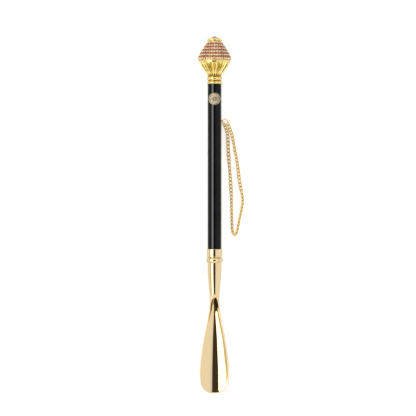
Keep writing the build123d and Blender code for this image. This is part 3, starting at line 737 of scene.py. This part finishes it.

# ---- Badge: a plain round plaque of pale gold plate, bent to the shaft ----
# It has a raised rim, a small boss and shallow radial flutes. Two pins hold it in the wood.

# stamped and plated in pale, greyish gold: its relief reads by near-black painted shade in its
# corners
pale_gold = plated_brass("pale_gold_plated_brass", "#C2B69A", "#1A150C", 0.22, haze_mm=3.0,
                         shade_reach_mm=1.8, shut_in=0.5, in_the_open=0.95)
badge_middle, badge_radius, badge_steps = 93.9, 8.9, 96
badge_flutes, badge_flute_depth, fluted_from, fluted_to = 12, 0.3, 1.9, 7.5
# distance from the badge's middle and height over the shaft: its face, and then its back
badge_face = [(0.0, 1.35), (0.7, 1.3), (1.4, 1.05), (1.7, 0.5), (2.0, 0.5), (4.5, 0.7), (7.2, 0.5),
              (7.6, 0.5), (7.9, 1.1), (8.2, 1.22), (8.6, 1.15), (8.85, 0.9), (badge_radius, 0.6)]
badge_back = [(badge_radius, 0.02), (5.0, 0.02), (0.0, 0.02)]
vertices = []
for rho, raised in badge_face + badge_back:
    for k in range(badge_steps):
        turn = 2 * pi * k / badge_steps
        fluted = fluted_from < rho < fluted_to and raised > 0.4
        flute = badge_flute_depth * cos(badge_flutes * turn) if fluted else 0.0
        out = shaft_radius + raised + flute
        side = rho * sin(turn)
        vertices.append(at(badge_middle + rho * cos(turn), side, (out**2 - side**2) ** 0.5))
make_piece("plain_badge", vertices, strip_faces(len(badge_face + badge_back), badge_steps),
           pale_gold, ["badge"], sharp=50)

# ---- Ferrule: a collar and a bead ring, turned brass with pale gold plate, over the tenon ----
# The plate is the same champagne colour as the blade's, polished to a mirror.
# dark brown painted shade in its groove and corners
champagne = plated_brass("champagne_plated_brass_mirror", "#EFD7AB", "#4A3820", 0.05, haze_mm=14,
                         shade_reach_mm=2.5)
bead_start, bead_end, bead_edge, bead_crown = 330.6, 338.2, 10.4, 12.9
ferrule_bore, collar_radius = 8.62, 11.6
collar_top = arc((shaft_end, 10.9), (317.8, 11.4), (318.3, collar_radius), 4)
collar_foot = arc((328.7, collar_radius), (329.2, 11.4), (329.4, 10.9), 4)
collar_groove = arc((329.45, 10.5), (330.0, 10.2), (bead_start, bead_edge), 4)
turn_piece("collar", [(shaft_end, ferrule_bore)] + collar_top + [(323.4, collar_radius)]
           + collar_foot + collar_groove + [(bead_start, ferrule_bore)],
           champagne, ["ferrule_collar"])
bead_belly = arc((bead_start, bead_edge), (334.4, bead_crown), (bead_end, bead_edge), 20)
turn_piece("bead", [(bead_start, ferrule_bore)] + bead_belly + [(bead_end, ferrule_bore)],
           champagne, ["bead_ring"])

# ---- Blade: one pressing of brass plate, 1.8 mm thick, with champagne plate ----
# The socket and neck are closed and round; the neck's top falls away and the section opens
# into a trough that widens and flattens to a round tip. Every edge is rolled smooth.
# dark brown painted shade where the hollow is closed in, by ambient occlusion over a wide reach
pressed_champagne = plated_brass("champagne_plated_brass_pressed", "#EFD7AB", "#2E2312", 0.05,
                                 haze_mm=14, shade_reach_mm=8.0, shut_in=0.35, in_the_open=0.7)
# painted shade: the hollow's throat is fully dark inside an oval; faces turned down, as the back,
# are spared
throat_shade_middle, throat_shade_halves = at(400.5, -1.9, -0.5), (17.0, 3.7, 8.5)
tree = pressed_champagne.node_tree
tone = tree.nodes["Principled BSDF"].inputs["Base Color"].links[0].from_node
place = add_node(tree, "ShaderNodeTexCoord")
from_throat = add_node(tree, "ShaderNodeVectorMath", operation="SUBTRACT",
                       links={0: place.outputs["Object"]}, values={1: throat_shade_middle})
shares = add_node(tree, "ShaderNodeVectorMath", operation="MULTIPLY",
                  links={0: from_throat.outputs[0]},
                  values={1: [1 / (half * MM) for half in throat_shade_halves]})
throat_distance = add_node(tree, "ShaderNodeVectorMath", operation="LENGTH", links={0: shares.outputs[0]})
clear = add_node(tree, "ShaderNodeMapRange", links={"Value": throat_distance.outputs["Value"]},
                 values={"From Min": 0.86, "From Max": 1.04})
surface = add_node(tree, "ShaderNodeNewGeometry")
slant = add_node(tree, "ShaderNodeSeparateXYZ", links={"Vector": surface.outputs["Normal"]})
underside = add_node(tree, "ShaderNodeMapRange", links={"Value": slant.outputs["Z"]},
                     values={"From Min": 0.15, "From Max": 0.0})
spared_from_shade = add_node(tree, "ShaderNodeMath", operation="MAXIMUM",
                  links={0: clear.outputs[0], 1: underside.outputs[0]})
painted_shade_factor = add_node(tree, "ShaderNodeMath", operation="MULTIPLY",
                links={0: spared_from_shade.outputs[0], 1: tone.inputs["Factor"].links[0].from_socket})
tree.links.new(painted_shade_factor.outputs[0], tone.inputs["Factor"])
plate = 1.8
half_plate = plate / 2
mouth_radius, socket_radius, socket_floor = 10.35, 8.65, 351.4
# distance, radius of the back, lowest point of the back below the axis
back_line = [(bead_end, mouth_radius, -mouth_radius), (351.0, 10.4, -10.4), (366.0, 9.3, -9.3),
             (379.0, 8.1, -8.1), (388.0, 7.45, -7.45), (394.0, 7.2, -7.3), (400.0, 7.15, -7.3),
             (407.0, 8.2, -7.4), (414.0, 10.0, -7.7), (426.0, 14.0, -8.5), (441.0, 20.0, -9.9),
             (456.0, 25.0, -11.3), (471.0, 28.0, -12.5), (486.0, 31.0, -13.35),
             (501.0, 34.0, -13.9), (516.0, 35.0, -13.75), (538.0, 36.0, -12.5)]
# distance and half the blade's width
blade_width = [(400.0, 7.1), (407.0, 7.85), (414.0, 8.9), (426.0, 10.75), (441.0, 13.8),
               (456.0, 16.65), (471.0, 18.9), (486.0, 20.75), (501.0, 21.85), (508.5, 22.1)]
# distance, degrees from the bottom to the edge, half width, height and floor of the hollow;
# from the plain trough on, all of these follow from the back and the width
plain_trough = 414.0
opening = [(bead_end, 150, 0.3, 10.345, mouth_radius), (351.0, 150, 0.3, 10.395, 10.4),
           (366.0, 150, 0.3, 9.295, 9.3), (379.0, 150, 0.3, 8.094, 8.1),
           (383.5, 150, 0.3, 7.754, 7.76), (386.0, 148, 0.5, 7.17, 7.18),
           (388.6, 143, 0.9, 6.05, 6.03), (390.0, 138, 1.6, 5.5, 5.1), (392.0, 130, 2.6, 4.7, 3.2),
           (394.0, 122, 3.4, 3.9, 1.2), (400.0, 100, 5.0, 1.2, -3.4)]
fan_middle, tip_end, tip_power = 505.0, 535.0, 2.5
fan_steps, fan_step = 36, 2.5
outer_steps, edge_steps, inner_steps = 18, 7, 14


def plate_angle(s):
    """Degrees from the bottom of the plate's section to its edge."""
    radius = smooth(back_line, s)[0]
    return degrees(asin((smooth(blade_width, s)[0] - half_plate) / (radius - half_plate)))


for s in (407.0, plain_trough):
    radius, back = smooth(back_line, s)
    angle = radians(plate_angle(s))
    opening.append((s, degrees(angle), (radius - plate) * sin(angle),
                    back + radius - (radius - plate) * cos(angle), back + plate))


def rolled_edge(outer, inner):
    """Points on a smooth curve from the end of the outer face to the start of the inner one."""
    first, last = outer[-1], inner[0]
    leave, arrive = outer[-1] - outer[-2], inner[1] - inner[0]
    leave, arrive = leave / np.linalg.norm(leave), arrive / np.linalg.norm(arrive)
    turned_by = max(0.05, np.arccos(np.clip(leave @ arrive, -1, 1)))
    handle = np.linalg.norm(last - first) * 2 / 3 * tan(turned_by / 4) / sin(turned_by / 2)
    made = []
    for k in range(1, edge_steps):
        u = k / edge_steps
        made.append((1 - u)**3 * first + 3 * u * (1 - u)**2 * (first + leave * handle)
                    + 3 * u**2 * (1 - u) * (last - arrive * handle) + u**3 * last)
    return np.array(made)


def blade_row(s):
    """Half a section across the blade: (distance, side, height) from the back's middle outward,
    round the edge, and along the hollow to its middle."""
    radius, back = smooth(back_line, s)
    if s < plain_trough:
        angle, half, height, ground = smooth(opening, s)
        angle = radians(angle)
        sweep_in = 2 * atan((height - ground) / half)
        inner_radius = half / sin(sweep_in)
    else:
        angle = sweep_in = radians(plate_angle(s))
        inner_radius, ground = radius - plate, back + plate
    a = np.linspace(0, angle, outer_steps)
    outer = np.stack([np.full_like(a, s), radius * np.sin(a), back + radius * (1 - np.cos(a))], 1)
    a = np.linspace(sweep_in, 0, inner_steps)
    inner = np.stack([np.full_like(a, s), inner_radius * np.sin(a),
                      ground + inner_radius * (1 - np.cos(a))], 1)
    return np.concatenate([outer, rolled_edge(outer, inner), inner])


def tip_row(turn):
    """The same from the middle of the tip's fan, in a direction from sideways to straight on."""
    across_tip = smooth(blade_width, fan_middle)[0]
    edge = np.array([(tip_end - fan_middle) * max(0.0, cos(turn)) ** (2 / tip_power),
                     across_tip * sin(turn) ** (2 / tip_power)])
    reach_out = np.linalg.norm(edge)
    edge /= reach_out
    radius = smooth(back_line, fan_middle)[0]
    angle = radians(plate_angle(fan_middle))
    faces_of_plate = []
    for thick, count in ((0.0, outer_steps), (plate, inner_steps)):
        shares = np.sin(np.linspace(0, angle, count)) / sin(angle)
        far = shares * (reach_out - half_plate) * (radius - thick) / (radius - half_plate)
        rows = []
        for d in far:
            s, side = fan_middle + d * edge[0], d * edge[1]
            own_radius, back = smooth(back_line, s)
            rows.append((s, side, back + own_radius - ((own_radius - thick) ** 2 - side**2) ** 0.5))
        faces_of_plate.append(np.array(rows))
    outer, inner = faces_of_plate[0], faces_of_plate[1][::-1]
    return np.concatenate([outer, rolled_edge(outer, inner), inner])


# close rows where the section opens, wider ones along the neck and the trough
row_places = ([bead_end + 2.29 * k for k in range(20)] + [384 + 0.75 * k for k in range(41)]
              + [416.5 + 2.95 * k for k in range(30)])
half_rows = [blade_row(s) for s in row_places] + [blade_row(fan_middle)]
half_rows += [tip_row(radians(90 - fan_step * k)) for k in range(1, fan_steps + 1)]
# the socket: from the mouth's rim in to the bore, down to its floor, and to the floor's middle
mouth = half_rows[0].copy()
mouth[:, 1:] *= socket_radius / mouth_radius
deep, centre = mouth.copy(), mouth.copy()
deep[:, 0] = centre[:, 0] = socket_floor
centre[:, 1:] = 0.0
half_rows = [centre, deep, mouth] + half_rows
vertices, faces = [], []
for mirror in (1, -1):
    base = len(vertices)
    vertices += [at(s, mirror * side, height) for row in half_rows for s, side, height in row]
    faces += strip_faces(len(half_rows), len(half_rows[0]), base, close_columns=False)
make_piece("pressed_blade", vertices, faces, pressed_champagne, ["blade"],
           sharp=40)

# ---- Hidden pieces: the cone's shell, the stud with its insert, and the badge's pins ----
# They show only if the shoehorn is taken apart: zinc-plated steel for the stud, turned brass
# for the insert and gold-plated brass for the rest.

# zinc plate is bluish grey and dull; turned brass is greener and duller than gold plate; both have
# painted shade in their recesses
zinc = plated_brass("zinc_plated_steel", "#B4B6B8", "#6F7175", 0.32)
raw_brass = plated_brass("turned_raw_brass", "#C9A758", "#7A5F2A", 0.28)
for name, material in (("pommel_cone", yellow_gold), ("pommel_stud", zinc),
                       ("shaft_insert", raw_brass), ("badge_pins", pale_gold)):
    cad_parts[name].data.materials.clear()
    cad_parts[name].data.materials.append(material)
